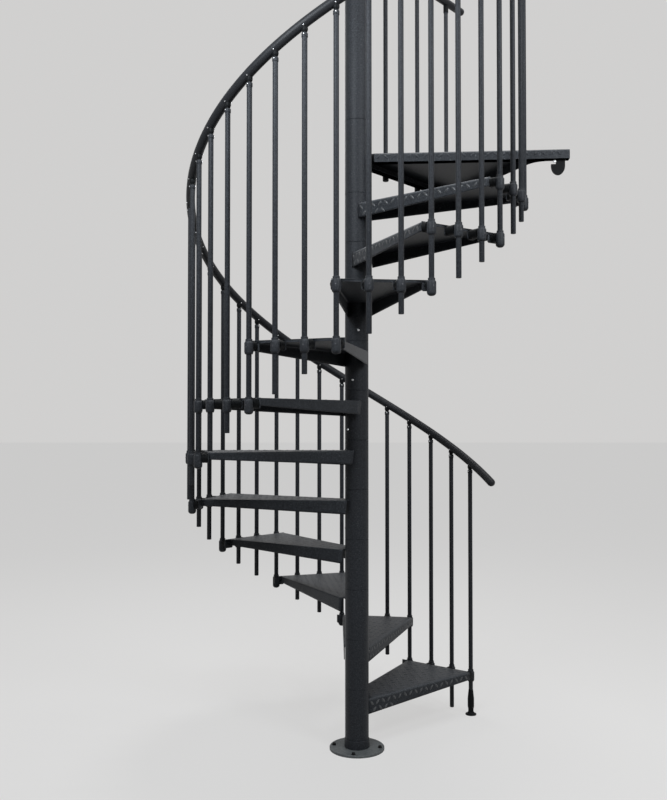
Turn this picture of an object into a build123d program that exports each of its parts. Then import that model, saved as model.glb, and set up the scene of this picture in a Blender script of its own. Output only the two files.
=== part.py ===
# Spiral staircase: steel column, eleven folded treads, a landing, balusters and a helical handrail.
# Millimetres, +Z up. The origin is the centre of the base plate's underside, on the column's axis.
import os
from math import asin, atan, atan2, cos, degrees, hypot, pi, radians, sin, tan

from build123d import *

os.makedirs("parts", exist_ok=True)

# Stair layout
TREADS = 11
RISE = 230.0
TURN = 28.0
FIRST_BAR_ANGLE = 38.7
BARS_PER_TREAD = 3
BAR_TURN = TURN / BARS_PER_TREAD
BAR_RISE = RISE / BARS_PER_TREAD

# Clearances
FIT_GAP = 0.3
SHEET_TO_HUB = 1.0

# Base plate
BASE_D = 254.0
BASE_T = 10.0
BASE_BOLT_INSET = 19.5
BASE_BOLT_D = 14.0
BASE_BOLTS = 4
BASE_BOLT_START = -10.0
BASE_EDGE = 1.5
BASE_BOLT_PCD = BASE_D - 2 * BASE_BOLT_INSET

# Column
HUB_D = 109.5
HUB_WALL = 4.0
FOOT_TUBE_D = 116.0
HUB_BELOW_TREAD = 181.0
HUB_ABOVE_TREAD = RISE - HUB_BELOW_TREAD
MAST_D = HUB_D - 2 * HUB_WALL - 2 * FIT_GAP
MAST_WALL = 4.0
LANDING_HUB_ABOVE = 164.5
NEWEL_ABOVE_LANDING = 1090.0
NEWEL_CAP_H = 14.0
NEWEL_CAP_EDGE_R = 8.0

# Treads
SHEET = 4.0
REAR_EDGE_OFFSET = HUB_D / 2 + SHEET_TO_HUB + SHEET
FRONT_EDGE_OFFSET = 40.0
TREAD_CHORD = 708.0
CORNER_REACH = 40.1
FRONT_CORNER_PAST = 17.5
REAR_CORNER_SHORT = 10.0
FRONT_BEND_R = 12.0
REAR_BEND_R = 6.0
FRONT_DEPTH_IN = 75.0
FRONT_DEPTH_OUT = 40.0
REAR_DEPTH_IN = 69.0
REAR_DEPTH_OUT = 30.0
FRONT_START = 42.0
FRONT_END_SLANT = 10.0
REAR_START = 15.0
LIP_DEPTH = 12.0
LIP_INSET = 20.0
TAB_W = 40.0
REAR_TAB_W = 50.0
TAB_DEPTH = 44.0

# Baluster lines: the corner balusters stand this reach outside the treads' outer edges
CORNER_N = TREAD_CHORD + CORNER_REACH
CORNER_S = CORNER_N * tan(radians(TURN / 2))
BAR_CIRCLE_R = hypot(CORNER_N, CORNER_S)
INNER_N = BAR_CIRCLE_R * cos(radians(BAR_TURN / 2))
INNER_S = BAR_CIRCLE_R * sin(radians(BAR_TURN / 2))
FRONT_CORNER = CORNER_S + FRONT_CORNER_PAST
REAR_CORNER = CORNER_S - REAR_CORNER_SHORT

# Balusters and the clamps and spacers that hold them
BAR_D = 22.0
BAR_BELOW = 66.5
BAR_ABOVE = 1261.5
CLAMP_D = 38.0
CLAMP_H = 60.0
CLAMP_RISE = 2.0
CLAMP_CONE_H = 16.0
CLAMP_CONE_D = 27.0
CLAMP_FOOT_H = 8.0
CLAMP_FOOT_D = 30.0
CUP_DROP = 68.0
CUP_FLOOR_T = 5.0
CUP_ROUND_R = 14.0
SPACER_D = 40.0
SPACER_DROP = 23.5
SPACER_WRAP_L = 4.0

# Foot of the first baluster
FOOT_D = 57.0
FOOT_H = 6.0
FOOT_NECK_D = 25.0
FOOT_NECK_LOW = 20.0
FOOT_NECK_HIGH = 32.0
FOOT_BARREL_D = 34.0
FOOT_BARREL_LOW = 42.0
FOOT_BARREL_HIGH = 88.0
FOOT_SLEEVE_H = 128.0
FOOT_SLEEVE_WALL = 1.0
FOOT_FLOOR = 4.0

# Handrail
RAIL_D = 40.0
RAIL_ABOVE_BAR = 41.6
RAIL_PAST_FIRST = 159.0
RAIL_PAST_LAST = 62.8
KNUCKLE_D = 27.0
KNUCKLE_SLEEVE = 16.0

# Landing, with an arm along each side and a bay between the arms
LANDING_FRONT_ANGLE = -4.2
LANDING_FRONT_OFFSET = 57.5
LANDING_FRONT_START = 84.0
LANDING_FAR_ANGLE = 50.4
LANDING_FAR_OFFSET = 12.0
LANDING_EDGE_L = 977.0
LANDING_DEPTH = 44.0
LANDING_FAR_DEPTH = 44.0
LANDING_RETURN_W = 42.0
LANDING_CHORD_PAST = 19.0
LANDING_BAY_R = 100.0
LANDING_FIX_D = 12.0
TONGUE_W = 63.0
TONGUE_H = 71.0
TONGUE_ROUND_H = 42.0
TONGUE_T = 10.0
TONGUE_NOTCH_W = 22.0
TONGUE_NOTCH_H = 21.0
TONGUE_INSET = 18.0
TONGUE_FROM_END = 50.0

# Landing balustrade
LANDING_RAIL_ABOVE = 1043.0
LANDING_BARS = 3
LANDING_BAR_FIRST = 268.0
LANDING_BAR_PITCH = 278.0
LANDING_BAR_DROP = 53.0
LANDING_CUP_D = 30.0
LANDING_CUP_TOP = 6.0
LANDING_CUP_DROP = 57.0
LANDING_CUP_EDGE = 3.0

# Derived sizes
HUB_R = HUB_D / 2
LANDING_TOP = RISE * (TREADS + 1)
LANDING_CHORD = TREAD_CHORD + LANDING_CHORD_PAST
BAR_COUNT = BARS_PER_TREAD * TREADS + 1
HELIX_PITCH = RISE * 360 / TURN
RAIL_SLOPE = degrees(atan(HELIX_PITCH / (2 * pi * BAR_CIRCLE_R)))
BAR_SPACING = radians(BAR_TURN) * BAR_CIRCLE_R


def tread_place(step):
    """Turn and lift a piece drawn along +X with its top at height 0 to its step."""
    angle = FIRST_BAR_ANGLE + TURN * (step - 0.5)
    return Location((0, 0, RISE * step), (0, 0, angle))


def bar_place(bar, height):
    """Turn a piece drawn on +X at the bar circle to its bar, at this height for bar 0."""
    return Location((0, 0, height + BAR_RISE * bar), (0, 0, FIRST_BAR_ANGLE + BAR_TURN * bar))


def edge_line(corner_x, corner_y, side, off_axis):
    """Direction in degrees, nearest point to the axis and length of an edge this far off the axis."""
    reach = hypot(corner_x, corner_y)
    turn = degrees(asin(off_axis / reach))
    angle = degrees(atan2(corner_y, corner_x)) - side * turn
    foot = (-side * off_axis * sin(radians(angle)), side * off_axis * cos(radians(angle)))
    return angle, foot, (reach**2 - off_axis**2) ** 0.5


def along(foot, angle, run, inward=0.0, side=1):
    """Point a run along an edge from its point nearest to the axis, and this far inside it."""
    return (
        foot[0] + run * cos(radians(angle)) + side * inward * sin(radians(angle)),
        foot[1] + run * sin(radians(angle)) - side * inward * cos(radians(angle)),
    )


def edge_plane(foot, angle, run, inward, side):
    """Upright plane across an edge: x points into the sheet, y is up, z is along the edge."""
    x, y = along(foot, angle, run, inward, side)
    inside = (side * sin(radians(angle)), -side * cos(radians(angle)), 0)
    return Plane((x, y, 0), x_dir=inside, z_dir=(-side * cos(radians(angle)), -side * sin(radians(angle)), 0))


# Base plate
with BuildPart() as base_plate:
    Cylinder(BASE_D / 2, BASE_T, align=(Align.CENTER, Align.CENTER, Align.MIN))
    chamfer(base_plate.edges().group_by(Axis.Z)[-1], BASE_EDGE)
    with PolarLocations(BASE_BOLT_PCD / 2, BASE_BOLTS, start_angle=BASE_BOLT_START):
        Hole(BASE_BOLT_D / 2)
base_plate.part.label = "base_plate"
export_step(base_plate.part, "parts/base_plate.step")

# Column tubes
FIRST_HUB_BOTTOM = RISE - HUB_BELOW_TREAD
LAST_HUB_TOP = RISE * TREADS + HUB_ABOVE_TREAD
LANDING_HUB_TOP = LANDING_TOP + LANDING_HUB_ABOVE
NEWEL_TOP = LANDING_TOP + NEWEL_ABOVE_LANDING

with BuildPart() as foot_tube:
    with BuildSketch(Plane.XY.offset(BASE_T)):
        Circle(FOOT_TUBE_D / 2)
        Circle(HUB_R - HUB_WALL, mode=Mode.SUBTRACT)
    extrude(amount=FIRST_HUB_BOTTOM - BASE_T)
foot_tube.part.label = "foot_tube"
export_step(foot_tube.part, "parts/foot_tube.step")

with BuildPart() as mast:
    with BuildSketch(Plane.XY.offset(BASE_T)):
        Circle(MAST_D / 2)
        Circle(MAST_D / 2 - MAST_WALL, mode=Mode.SUBTRACT)
    extrude(amount=NEWEL_TOP - BASE_T)
mast.part.label = "mast"
export_step(mast.part, "parts/mast.step")

with BuildPart() as hubs_odd:
    for step in range(1, TREADS + 1, 2):
        with BuildSketch(Plane.XY.offset(FIRST_HUB_BOTTOM + RISE * (step - 1))):
            Circle(HUB_R)
            Circle(HUB_R - HUB_WALL, mode=Mode.SUBTRACT)
        extrude(amount=RISE)
hubs_odd.part.label = "hubs_odd"
export_step(hubs_odd.part, "parts/hubs_odd.step")

with BuildPart() as hubs_even:
    for step in range(2, TREADS + 1, 2):
        with BuildSketch(Plane.XY.offset(FIRST_HUB_BOTTOM + RISE * (step - 1))):
            Circle(HUB_R)
            Circle(HUB_R - HUB_WALL, mode=Mode.SUBTRACT)
        extrude(amount=RISE)
hubs_even.part.label = "hubs_even"
export_step(hubs_even.part, "parts/hubs_even.step")

with BuildPart() as landing_hub:
    with BuildSketch(Plane.XY.offset(LAST_HUB_TOP)):
        Circle(HUB_R)
        Circle(HUB_R - HUB_WALL, mode=Mode.SUBTRACT)
    extrude(amount=LANDING_HUB_TOP - LAST_HUB_TOP)
landing_hub.part.label = "landing_hub"
export_step(landing_hub.part, "parts/landing_hub.step")

with BuildPart() as newel_tube:
    with BuildSketch(Plane.XY.offset(LANDING_HUB_TOP)):
        Circle(HUB_R)
        Circle(HUB_R - HUB_WALL, mode=Mode.SUBTRACT)
    extrude(amount=NEWEL_TOP - LANDING_HUB_TOP)
newel_tube.part.label = "newel_tube"
export_step(newel_tube.part, "parts/newel_tube.step")

with BuildPart() as newel_cap:
    with BuildSketch(Plane.XY.offset(NEWEL_TOP)):
        Circle(HUB_R)
    extrude(amount=NEWEL_CAP_H)
    fillet(newel_cap.edges().group_by(Axis.Z)[-1], NEWEL_CAP_EDGE_R)
newel_cap.part.label = "newel_cap"
export_step(newel_cap.part, "parts/newel_cap.step")

# Tread, drawn once along +X with its walking face at height 0
front_angle, front_foot, front_run = edge_line(TREAD_CHORD, -FRONT_CORNER, -1, FRONT_EDGE_OFFSET)
rear_angle, rear_foot, rear_run = edge_line(TREAD_CHORD, REAR_CORNER, 1, REAR_EDGE_OFFSET)
OVERRUN = FRONT_DEPTH_IN
front_side_plane = Plane(
    along(front_foot, front_angle, FRONT_START, 0, -1),
    x_dir=(cos(radians(front_angle)), sin(radians(front_angle)), 0),
    z_dir=(sin(radians(front_angle)), -cos(radians(front_angle)), 0),
)
LIP_W = FRONT_CORNER + REAR_CORNER - 2 * LIP_INSET
CUT_DEPTH = 2 * FRONT_DEPTH_IN
CUT_SIDE = FRONT_CORNER + OVERRUN

with BuildPart() as tread_blank:
    with BuildSketch(Plane.XY):
        Polygon(
            (0, 0),
            along(front_foot, front_angle, FRONT_START, FRONT_BEND_R, -1),
            along(front_foot, front_angle, front_run + OVERRUN, FRONT_BEND_R, -1),
            along(rear_foot, rear_angle, rear_run + OVERRUN, REAR_BEND_R, 1),
            along(rear_foot, rear_angle, REAR_START, REAR_BEND_R, 1),
            align=None,
        )
    extrude(amount=-SHEET)
    # Front fold
    with BuildSketch(edge_plane(front_foot, front_angle, FRONT_START, 0, -1)):
        with Locations((FRONT_BEND_R, -FRONT_BEND_R)):
            Circle(FRONT_BEND_R)
            Circle(FRONT_BEND_R - SHEET, mode=Mode.SUBTRACT)
            Rectangle(FRONT_BEND_R, FRONT_BEND_R, align=(Align.MAX, Align.MIN), mode=Mode.INTERSECT)
        with Locations((0, -FRONT_BEND_R)):
            Rectangle(SHEET, FRONT_DEPTH_IN - FRONT_BEND_R, align=(Align.MIN, Align.MAX))
    extrude(amount=front_run + OVERRUN - FRONT_START)
    with BuildSketch(front_side_plane):
        Polygon(
            (-SHEET, -FRONT_BEND_R),
            (0, -FRONT_BEND_R),
            (FRONT_END_SLANT, -FRONT_DEPTH_IN),
            (-SHEET, -FRONT_DEPTH_IN),
            align=None,
        )
    extrude(amount=2 * SHEET, both=True, mode=Mode.SUBTRACT)
    # Rear fold
    with BuildSketch(edge_plane(rear_foot, rear_angle, REAR_START, 0, 1)):
        with Locations((REAR_BEND_R, -REAR_BEND_R)):
            Circle(REAR_BEND_R)
            Circle(REAR_BEND_R - SHEET, mode=Mode.SUBTRACT)
            Rectangle(REAR_BEND_R, REAR_BEND_R, align=(Align.MAX, Align.MIN), mode=Mode.INTERSECT)
        with Locations((0, -REAR_BEND_R)):
            Rectangle(SHEET, REAR_DEPTH_IN - REAR_BEND_R, align=(Align.MIN, Align.MAX))
    extrude(amount=-(rear_run + OVERRUN - REAR_START))
    # Taper of both flanges and the straight outer edge
    with BuildSketch(Plane.XZ):
        Polygon(
            (-REAR_EDGE_OFFSET, -FRONT_DEPTH_IN),
            (TREAD_CHORD, -FRONT_DEPTH_OUT),
            (TREAD_CHORD, -CUT_DEPTH),
            (-REAR_EDGE_OFFSET, -CUT_DEPTH),
            align=None,
        )
    extrude(amount=CUT_SIDE, mode=Mode.SUBTRACT)
    with BuildSketch(Plane.XZ):
        Polygon(
            (-REAR_EDGE_OFFSET, -REAR_DEPTH_IN),
            (TREAD_CHORD, -REAR_DEPTH_OUT),
            (TREAD_CHORD, -CUT_DEPTH),
            (-REAR_EDGE_OFFSET, -CUT_DEPTH),
            align=None,
        )
    extrude(amount=-CUT_SIDE, mode=Mode.SUBTRACT)
    with BuildSketch(Plane.XY):
        with Locations((TREAD_CHORD, 0)):
            Rectangle(2 * OVERRUN, 2 * CUT_SIDE, align=(Align.MIN, Align.CENTER))
    extrude(amount=CUT_DEPTH, both=True, mode=Mode.SUBTRACT)
    # Outer lip and the tabs that carry the spacers
    with BuildSketch(Plane.YZ.offset(TREAD_CHORD)):
        with Locations(((REAR_CORNER - FRONT_CORNER) / 2, -SHEET)):
            Rectangle(LIP_W, LIP_DEPTH - SHEET, align=(Align.CENTER, Align.MAX))
        with Locations((-INNER_S, -SHEET), (INNER_S, -SHEET)):
            Rectangle(TAB_W, TAB_DEPTH - SHEET, align=(Align.CENTER, Align.MAX))
        with Locations((-FRONT_CORNER + SHEET, -SHEET)):
            Rectangle(TAB_W, TAB_DEPTH - SHEET, align=(Align.MIN, Align.MAX))
        with Locations((CORNER_S + TAB_W / 2, -SHEET)):
            Rectangle(REAR_TAB_W, TAB_DEPTH - SHEET, align=(Align.MAX, Align.MAX))
    extrude(amount=-SHEET)
    # Column opening
    with BuildSketch(Plane.XY):
        Circle(HUB_R + FIT_GAP)
    extrude(amount=CUT_DEPTH, both=True, mode=Mode.SUBTRACT)

for step in range(1, TREADS + 1):
    with BuildPart() as tread:
        with Locations(tread_place(step)):
            add(tread_blank.part)
    tread.part.label = f"tread_{step:02d}"
    export_step(tread.part, f"parts/tread_{step:02d}.step")

# Clamps, drawn once about the bar axis with the walking face at height 0
with BuildPart() as clamp_blank:
    with BuildSketch(Plane.XZ):
        Polygon(
            (BAR_D / 2 + FIT_GAP, CLAMP_RISE),
            (CLAMP_CONE_D / 2, CLAMP_RISE),
            (CLAMP_D / 2, CLAMP_RISE - CLAMP_CONE_H),
            (CLAMP_D / 2, CLAMP_RISE - CLAMP_H + CLAMP_FOOT_H),
            (CLAMP_FOOT_D / 2, CLAMP_RISE - CLAMP_H),
            (BAR_D / 2 + FIT_GAP, CLAMP_RISE - CLAMP_H),
            align=None,
        )
    revolve(axis=Axis.Z)

CORNER_BAR_BELOW = CUP_DROP - CUP_FLOOR_T
with BuildPart() as cup_blank:
    with BuildSketch(Plane.XZ):
        Polygon(
            (0, CLAMP_RISE),
            (CLAMP_CONE_D / 2, CLAMP_RISE),
            (CLAMP_D / 2, CLAMP_RISE - CLAMP_CONE_H),
            (CLAMP_D / 2, -CUP_DROP),
            (0, -CUP_DROP),
            align=None,
        )
    revolve(axis=Axis.Z)
    fillet(cup_blank.edges().group_by(Axis.Z)[0], CUP_ROUND_R)
    with BuildSketch(Plane.XY.offset(CLAMP_RISE)):
        Circle(BAR_D / 2 + FIT_GAP)
    extrude(amount=-(CLAMP_RISE + CORNER_BAR_BELOW), mode=Mode.SUBTRACT)

with BuildPart() as clamps_front:
    for step in range(1, TREADS + 1):
        with Locations(tread_place(step) * Location((CORNER_N, -CORNER_S, 0))):
            add(clamp_blank.part)
clamps_front.part.label = "clamps_front"
export_step(clamps_front.part, "parts/clamps_front.step")

with BuildPart() as clamps_inner:
    for step in range(1, TREADS + 1):
        for side in (-INNER_S, INNER_S):
            with Locations(tread_place(step) * Location((INNER_N, side, 0))):
                add(clamp_blank.part)
clamps_inner.part.label = "clamps_inner"
export_step(clamps_inner.part, "parts/clamps_inner.step")

with BuildPart() as clamps_rear:
    for step in range(1, TREADS + 1):
        with Locations(tread_place(step) * Location((CORNER_N, CORNER_S, 0))):
            add(cup_blank.part)
clamps_rear.part.label = "clamps_rear"
export_step(clamps_rear.part, "parts/clamps_rear.step")

# Spacers between the tabs and the clamps, drawn once with their clamp's axis at the origin
with BuildPart() as spacer_corner_blank:
    with BuildSketch(Plane.YZ.offset(TREAD_CHORD - CORNER_N)):
        with Locations((0, -SPACER_DROP)):
            Circle(SPACER_D / 2)
    extrude(amount=CORNER_N - TREAD_CHORD - CLAMP_D / 2 + SPACER_WRAP_L)
    with BuildSketch(Plane.XY):
        Circle(CLAMP_D / 2 + FIT_GAP)
    extrude(amount=-2 * SPACER_D, mode=Mode.SUBTRACT)

with BuildPart() as spacer_inner_blank:
    with BuildSketch(Plane.YZ.offset(TREAD_CHORD - INNER_N)):
        with Locations((0, -SPACER_DROP)):
            Circle(SPACER_D / 2)
    extrude(amount=INNER_N - TREAD_CHORD - CLAMP_D / 2 + SPACER_WRAP_L)
    with BuildSketch(Plane.XY):
        Circle(CLAMP_D / 2 + FIT_GAP)
    extrude(amount=-2 * SPACER_D, mode=Mode.SUBTRACT)

with BuildPart() as spacers_corner:
    for step in range(1, TREADS + 1):
        for side in (-CORNER_S, CORNER_S):
            with Locations(tread_place(step) * Location((CORNER_N, side, 0))):
                add(spacer_corner_blank.part)
spacers_corner.part.label = "spacers_corner"
export_step(spacers_corner.part, "parts/spacers_corner.step")

with BuildPart() as spacers_inner:
    for step in range(1, TREADS + 1):
        for side in (-INNER_S, INNER_S):
            with Locations(tread_place(step) * Location((INNER_N, side, 0))):
                add(spacer_inner_blank.part)
spacers_inner.part.label = "spacers_inner"
export_step(spacers_inner.part, "parts/spacers_inner.step")

# Balusters
with BuildPart() as balusters_corner:
    for bar in range(BARS_PER_TREAD, BAR_COUNT, BARS_PER_TREAD):
        with Locations(bar_place(bar, -CORNER_BAR_BELOW) * Location((BAR_CIRCLE_R, 0, 0))):
            Cylinder(BAR_D / 2, BAR_ABOVE + CORNER_BAR_BELOW, align=(Align.CENTER, Align.CENTER, Align.MIN))
balusters_corner.part.label = "balusters_corner"
export_step(balusters_corner.part, "parts/balusters_corner.step")

with BuildPart() as balusters_second:
    for bar in range(1, BAR_COUNT, BARS_PER_TREAD):
        with Locations(bar_place(bar, -BAR_BELOW) * Location((BAR_CIRCLE_R, 0, 0))):
            Cylinder(BAR_D / 2, BAR_ABOVE + BAR_BELOW, align=(Align.CENTER, Align.CENTER, Align.MIN))
balusters_second.part.label = "balusters_second"
export_step(balusters_second.part, "parts/balusters_second.step")

with BuildPart() as balusters_third:
    for bar in range(2, BAR_COUNT, BARS_PER_TREAD):
        with Locations(bar_place(bar, -BAR_BELOW) * Location((BAR_CIRCLE_R, 0, 0))):
            Cylinder(BAR_D / 2, BAR_ABOVE + BAR_BELOW, align=(Align.CENTER, Align.CENTER, Align.MIN))
balusters_third.part.label = "balusters_third"
export_step(balusters_third.part, "parts/balusters_third.step")

with BuildPart() as first_baluster:
    with Locations(bar_place(0, FOOT_FLOOR) * Location((BAR_CIRCLE_R, 0, 0))):
        Cylinder(BAR_D / 2, BAR_ABOVE - FOOT_FLOOR, align=(Align.CENTER, Align.CENTER, Align.MIN))
first_baluster.part.label = "first_baluster"
export_step(first_baluster.part, "parts/first_baluster.step")

with BuildPart() as foot_blank:
    with BuildSketch(Plane.XZ):
        Polygon(
            (0, 0),
            (FOOT_D / 2, 0),
            (FOOT_D / 2, FOOT_H),
            (FOOT_NECK_D / 2, FOOT_NECK_LOW),
            (FOOT_NECK_D / 2, FOOT_NECK_HIGH),
            (FOOT_BARREL_D / 2, FOOT_BARREL_LOW),
            (FOOT_BARREL_D / 2, FOOT_BARREL_HIGH),
            (BAR_D / 2 + FOOT_SLEEVE_WALL, FOOT_SLEEVE_H),
            (BAR_D / 2 + FIT_GAP, FOOT_SLEEVE_H),
            (BAR_D / 2 + FIT_GAP, FOOT_FLOOR),
            (0, FOOT_FLOOR),
            align=None,
        )
    revolve(axis=Axis.Z)

with BuildPart() as first_baluster_foot:
    with Locations(bar_place(0, 0) * Location((BAR_CIRCLE_R, 0, 0))):
        add(foot_blank.part)
first_baluster_foot.part.label = "first_baluster_foot"
export_step(first_baluster_foot.part, "parts/first_baluster_foot.step")

# Handrail along a helix over the bar tops
RAIL_FIRST = -RAIL_PAST_FIRST / BAR_SPACING
RAIL_LAST = BAR_COUNT - 1 + RAIL_PAST_LAST / BAR_SPACING
with BuildPart() as rail_blank:
    with BuildLine() as rail_path:
        Helix(HELIX_PITCH, BAR_RISE * (RAIL_LAST - RAIL_FIRST), BAR_CIRCLE_R)
    with BuildSketch(Plane(rail_path.line @ 0, z_dir=rail_path.line % 0)):
        Circle(RAIL_D / 2)
    sweep(is_frenet=True)
    with Locations(rail_path.line @ 0, rail_path.line @ 1):
        Sphere(RAIL_D / 2)

with BuildPart() as handrail:
    with Locations(bar_place(RAIL_FIRST, BAR_ABOVE + RAIL_ABOVE_BAR)):
        add(rail_blank.part)
handrail.part.label = "handrail"
export_step(handrail.part, "parts/handrail.step")

# Knuckles between the bar tops and the handrail, drawn once on the bar circle
with BuildPart() as knuckle_blank:
    with BuildSketch(Plane.XY.offset(-KNUCKLE_SLEEVE)):
        Circle(KNUCKLE_D / 2)
    extrude(amount=KNUCKLE_SLEEVE + RAIL_ABOVE_BAR)
    with BuildSketch(Plane.XY.offset(-KNUCKLE_SLEEVE)):
        Circle(BAR_D / 2 + FIT_GAP)
    extrude(amount=KNUCKLE_SLEEVE, mode=Mode.SUBTRACT)
    with Locations(Location((0, 0, RAIL_ABOVE_BAR), (RAIL_SLOPE - 90, 0, 0))):
        Cylinder(RAIL_D / 2 + FIT_GAP, 4 * RAIL_D, mode=Mode.SUBTRACT)

with BuildPart() as rail_knuckles:
    for bar in range(BAR_COUNT):
        with Locations(bar_place(bar, BAR_ABOVE) * Location((BAR_CIRCLE_R, 0, 0))):
            add(knuckle_blank.part)
rail_knuckles.part.label = "rail_knuckles"
export_step(rail_knuckles.part, "parts/rail_knuckles.step")

# Landing, drawn in place with its walking face at height 0 and then lifted
land_mid = (LANDING_FRONT_ANGLE + LANDING_FAR_ANGLE) / 2
land_front = (
    LANDING_FRONT_OFFSET * sin(radians(LANDING_FRONT_ANGLE)),
    -LANDING_FRONT_OFFSET * cos(radians(LANDING_FRONT_ANGLE)),
)
land_far = (
    -LANDING_FAR_OFFSET * sin(radians(LANDING_FAR_ANGLE)),
    LANDING_FAR_OFFSET * cos(radians(LANDING_FAR_ANGLE)),
)


def front_point(run, inward):
    """Point on the landing's front side."""
    return along(land_front, LANDING_FRONT_ANGLE, run, inward, -1)


def far_point(run, inward):
    """Point on the landing's far side."""
    return along(land_far, LANDING_FAR_ANGLE, run, inward, 1)


def chord_point(point, angle):
    """Point where a line through this point at this angle crosses the landing's chord."""
    normal = (cos(radians(land_mid)), sin(radians(land_mid)))
    left = LANDING_CHORD - point[0] * normal[0] - point[1] * normal[1]
    run = left / (cos(radians(angle)) * normal[0] + sin(radians(angle)) * normal[1])
    return (point[0] + run * cos(radians(angle)), point[1] + run * sin(radians(angle)))


bay_corners = [
    chord_point(front_point(0, LANDING_RETURN_W), LANDING_FRONT_ANGLE),
    front_point(2 * LANDING_EDGE_L, LANDING_RETURN_W),
    far_point(2 * LANDING_EDGE_L, LANDING_RETURN_W),
    chord_point(far_point(0, LANDING_RETURN_W), LANDING_FAR_ANGLE),
]
with BuildSketch(Plane.XY) as bay:
    Polygon(*bay_corners, align=None)
    fillet(bay.vertices().sort_by_distance((0, 0, 0))[:2], LANDING_BAY_R)

with BuildPart() as landing_blank:
    with BuildSketch(Plane.XY):
        Polygon(
            (0, 0),
            front_point(LANDING_FRONT_START, FRONT_BEND_R),
            front_point(LANDING_EDGE_L, FRONT_BEND_R),
            front_point(LANDING_EDGE_L, 2 * LANDING_RETURN_W),
            far_point(LANDING_EDGE_L, 2 * LANDING_RETURN_W),
            far_point(LANDING_EDGE_L, REAR_BEND_R),
            far_point(0, REAR_BEND_R),
            align=None,
        )
    extrude(amount=-SHEET)
    # Front channel
    with BuildSketch(edge_plane(land_front, LANDING_FRONT_ANGLE, LANDING_FRONT_START, 0, -1)):
        with Locations((FRONT_BEND_R, -FRONT_BEND_R)):
            Circle(FRONT_BEND_R)
            Circle(FRONT_BEND_R - SHEET, mode=Mode.SUBTRACT)
            Rectangle(FRONT_BEND_R, FRONT_BEND_R, align=(Align.MAX, Align.MIN), mode=Mode.INTERSECT)
        with Locations((0, -FRONT_BEND_R)):
            Rectangle(SHEET, LANDING_DEPTH - FRONT_BEND_R, align=(Align.MIN, Align.MAX))
        with Locations((0, -LANDING_DEPTH)):
            Rectangle(LANDING_RETURN_W, SHEET, align=(Align.MIN, Align.MIN))
    extrude(amount=LANDING_EDGE_L - LANDING_FRONT_START)
    # Far channel
    with BuildSketch(edge_plane(land_far, LANDING_FAR_ANGLE, 0, 0, 1)):
        with Locations((REAR_BEND_R, -REAR_BEND_R)):
            Circle(REAR_BEND_R)
            Circle(REAR_BEND_R - SHEET, mode=Mode.SUBTRACT)
            Rectangle(REAR_BEND_R, REAR_BEND_R, align=(Align.MAX, Align.MIN), mode=Mode.INTERSECT)
        with Locations((0, -REAR_BEND_R)):
            Rectangle(SHEET, LANDING_FAR_DEPTH - REAR_BEND_R, align=(Align.MIN, Align.MAX))
        with Locations((0, -LANDING_FAR_DEPTH)):
            Rectangle(LANDING_RETURN_W, SHEET, align=(Align.MIN, Align.MIN))
    extrude(amount=-LANDING_EDGE_L)
    # Bay between the arms and the skirt along it
    add(bay.sketch)
    extrude(amount=CUT_DEPTH, both=True, mode=Mode.SUBTRACT)
    with BuildSketch(Plane.XY.offset(-SHEET)):
        Polygon(
            (0, 0),
            front_point(LANDING_EDGE_L, SHEET),
            far_point(LANDING_EDGE_L, SHEET),
            align=None,
        )
        add(offset(bay.sketch, amount=SHEET, kind=Kind.INTERSECTION, mode=Mode.PRIVATE), mode=Mode.INTERSECT)
        add(bay.sketch, mode=Mode.SUBTRACT)
    extrude(amount=-(LANDING_FAR_DEPTH - SHEET))
    # End plates of the arms, each with its fixing hole
    with BuildSketch(edge_plane(land_front, LANDING_FRONT_ANGLE, LANDING_EDGE_L - SHEET, 0, -1)):
        with Locations((SHEET, -SHEET)):
            Rectangle(LANDING_RETURN_W - SHEET, LANDING_DEPTH - SHEET, align=(Align.MIN, Align.MAX))
        with Locations((LANDING_RETURN_W / 2, -LANDING_DEPTH / 2)):
            Circle(LANDING_FIX_D / 2, mode=Mode.SUBTRACT)
    extrude(amount=SHEET)
    with BuildSketch(edge_plane(land_far, LANDING_FAR_ANGLE, LANDING_EDGE_L - SHEET, 0, 1)):
        with Locations((SHEET, -SHEET)):
            Rectangle(LANDING_RETURN_W - SHEET, LANDING_FAR_DEPTH - SHEET, align=(Align.MIN, Align.MAX))
        with Locations((LANDING_RETURN_W / 2, -LANDING_FAR_DEPTH / 2)):
            Circle(LANDING_FIX_D / 2, mode=Mode.SUBTRACT)
    extrude(amount=-SHEET)
    # Column opening
    with BuildSketch(Plane.XY):
        Circle(HUB_R + FIT_GAP)
    extrude(amount=CUT_DEPTH, both=True, mode=Mode.SUBTRACT)

with BuildPart() as landing:
    with Locations((0, 0, LANDING_TOP)):
        add(landing_blank.part)
landing.part.label = "landing"
export_step(landing.part, "parts/landing.step")

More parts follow.
